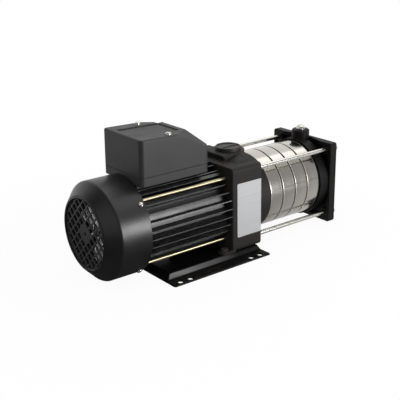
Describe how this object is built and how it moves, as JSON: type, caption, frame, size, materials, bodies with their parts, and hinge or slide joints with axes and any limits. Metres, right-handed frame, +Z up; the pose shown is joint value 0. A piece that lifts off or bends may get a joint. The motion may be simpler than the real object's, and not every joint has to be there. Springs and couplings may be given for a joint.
{
  "type": "multistage booster pump",
  "caption": "Horizontal multistage booster pump: finned motor with terminal box, square discharge head, stainless stages between tie rods, and a pressed foot plate.",
  "frame": {"origin": "centre of the base plate's bolt holes, on the plane that the plate stands on", "axes": "+X along the shaft from the fan to the suction port, +Y away from the rating plate's side, +Z up"},
  "size_m": [0.4566, 0.196, 0.2111],
  "materials": {
    "black_steel": "black satin paint on pressed steel",
    "zinc_steel": "zinc-plated steel",
    "black_cast": "black matte paint on cast iron",
    "black_cap": "black matte plastic",
    "plate_aluminium": "bare satin aluminium",
    "black_rubber": "black rubber",
    "stainless": "turned stainless steel",
    "shaft_steel": "ground steel",
    "ceramic_white": "lapped white ceramic",
    "carbon_steel": "carbon face in a stainless body",
    "bearing_steel": "polished bearing steel",
    "plug_nickel": "nickel-plated brass",
    "bright_rod": "bright plated steel",
    "black_housing": "black satin paint on extruded aluminium",
    "lamination": "stacked silicon steel sheets",
    "copper_winding": "varnished copper wire",
    "cast_aluminium": "cast aluminium",
    "gold_rod": "yellow zinc-plated steel",
    "fan_plastic": "grey moulded plastic",
    "black_cover": "black satin",
    "black_screw": "blackened steel",
    "bright_screw": "bright zinc-plated steel",
    "box_plastic": "black moulded plastic",
    "block_plastic": "ivory plastic",
    "capacitor_white": "white plastic",
    "gland_plastic": "black moulded plastic",
    "diffuser_plastic": "dark reinforced plastic",
    "impeller_plastic": "dark reinforced plastic"
  },
  "bodies": {
    "casing": {"base_plate": "black_steel", "base_bolts": "black_screw", "base_nuts": "zinc_steel", "discharge_head": "black_cast", "rating_plate": "plate_aluminium", "chamber_gaskets": "black_rubber", "neck_rings": "stainless", "seal_seat": "ceramic_white", "seal_seat_boot": "black_rubber", "front_bearing_outer_ring": "bearing_steel", "rear_bearing_outer_ring": "bearing_steel", "suction_casing": "black_cast", "drain_plug": "plug_nickel", "pump_tie_rods": "bright_rod", "pump_rod_washers": "zinc_steel", "pump_rod_nuts": "zinc_steel", "motor_housing": "black_housing", "stator_core": "lamination", "stator_windings": "copper_winding", "rear_end_shield": "cast_aluminium", "motor_tie_rods": "gold_rod", "motor_rod_nuts": "zinc_steel", "fan_cover": "black_cover", "fan_cover_screws": "bright_screw", "terminal_box_base": "box_plastic", "terminal_box_gasket": "black_rubber", "terminal_box_cover": "box_plastic", "terminal_box_screws": "bright_screw", "terminal_block": "block_plastic", "run_capacitor": "capacitor_white", "capacitor_strap": "zinc_steel", "cable_gland": "gland_plastic", "gland_nut": "gland_plastic", "stage_chamber_1": "stainless", "diffuser_1": "diffuser_plastic", "stage_chamber_2": "stainless", "diffuser_2": "diffuser_plastic", "stage_chamber_3": "stainless", "diffuser_3": "diffuser_plastic", "stage_chamber_4": "stainless", "diffuser_4": "diffuser_plastic"},
    "rotor": {"shaft": "shaft_steel", "rotor_core": "lamination", "cooling_fan": "fan_plastic", "fan_clip": "zinc_steel", "front_bearing_inner_ring": "bearing_steel", "front_bearing_balls": "bearing_steel", "rear_bearing_inner_ring": "bearing_steel", "rear_bearing_balls": "bearing_steel", "impeller_1": "impeller_plastic", "impeller_2": "impeller_plastic", "impeller_3": "impeller_plastic", "impeller_4": "impeller_plastic", "impeller_spacers": "stainless", "shaft_nut": "stainless", "seal_head": "carbon_steel"},
    "cap": {"discharge_cap": "black_cap"},
    "plug": {"priming_plug": "plug_nickel"}
  },
  "joints": [
    {"name": "shaft_spin", "type": "hinge", "parent": "casing", "child": "rotor", "pos_m": [0, 0, 0.075], "axis": [1, 0, 0], "continuous": true},
    {"name": "discharge_cap_lift", "type": "slide", "parent": "casing", "child": "cap", "axis": [0, 0, 1], "range_m": [0, 0.06]},
    {"name": "priming_plug_lift", "type": "slide", "parent": "casing", "child": "plug", "axis": [0, 0, 1], "range_m": [0, 0.03]}
  ]
}
